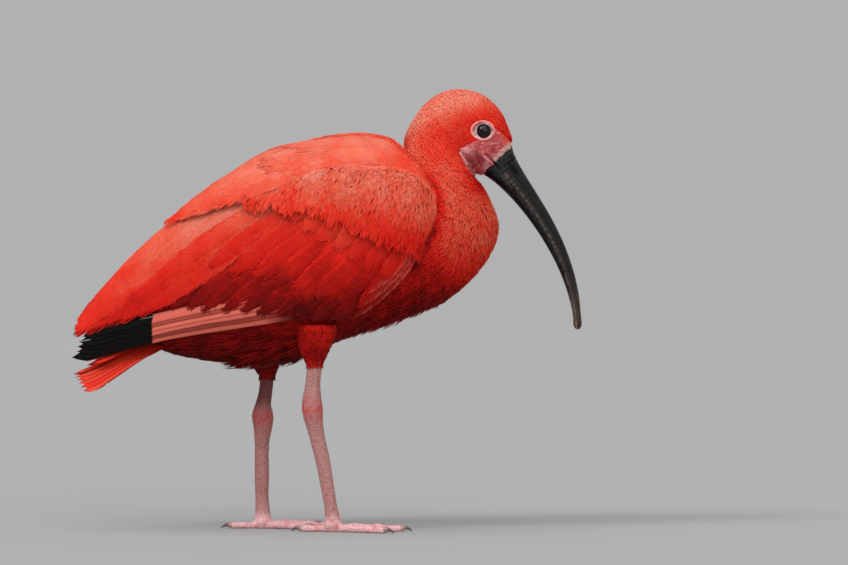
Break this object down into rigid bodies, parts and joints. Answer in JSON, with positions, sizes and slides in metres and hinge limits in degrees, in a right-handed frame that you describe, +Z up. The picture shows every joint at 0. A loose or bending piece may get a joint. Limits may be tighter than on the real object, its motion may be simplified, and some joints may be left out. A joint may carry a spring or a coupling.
{
  "type": "scarlet ibis",
  "caption": "Life-size standing scarlet ibis with long down-curved bill, folded layered wings, short tail and slender unfeathered legs, for display.",
  "frame": {"origin": "centre of the bounding box's footprint, on the ground under the feet", "axes": "+X the way the bird faces, +Y its left side, +Z up"},
  "size_m": [0.3836, 0.1182, 0.3305],
  "materials": {
    "plumage": "soft overlapping scarlet feathers, salmon on the back, black at the tips of the outer wing feathers",
    "bill": "dark grey to black horn, satin gloss, browner towards the tip",
    "bare_skin": "pink scaled and wrinkled skin, satin",
    "eye": "very dark brown, wet gloss",
    "claw": "horn, satin, darker at the tip"
  },
  "bodies": {
    "root": {"bill_lower": "bill", "bill_upper": "bill", "claw_left_1": "claw", "claw_left_2": "claw", "claw_left_3": "claw", "claw_left_4": "claw", "claw_right_1": "claw", "claw_right_2": "claw", "claw_right_3": "claw", "claw_right_4": "claw", "eye_left": "eye", "eye_right": "eye", "foot_left": "bare_skin", "foot_right": "bare_skin", "head": "plumage", "neck": "plumage", "shin_left": "bare_skin", "shin_right": "bare_skin", "tail": "plumage", "tarsus_left": "bare_skin", "tarsus_right": "bare_skin", "thigh_left": "plumage", "thigh_right": "plumage", "torso": "plumage", "wing_left": "plumage", "wing_right": "plumage"}
  },
  "joints": []
}
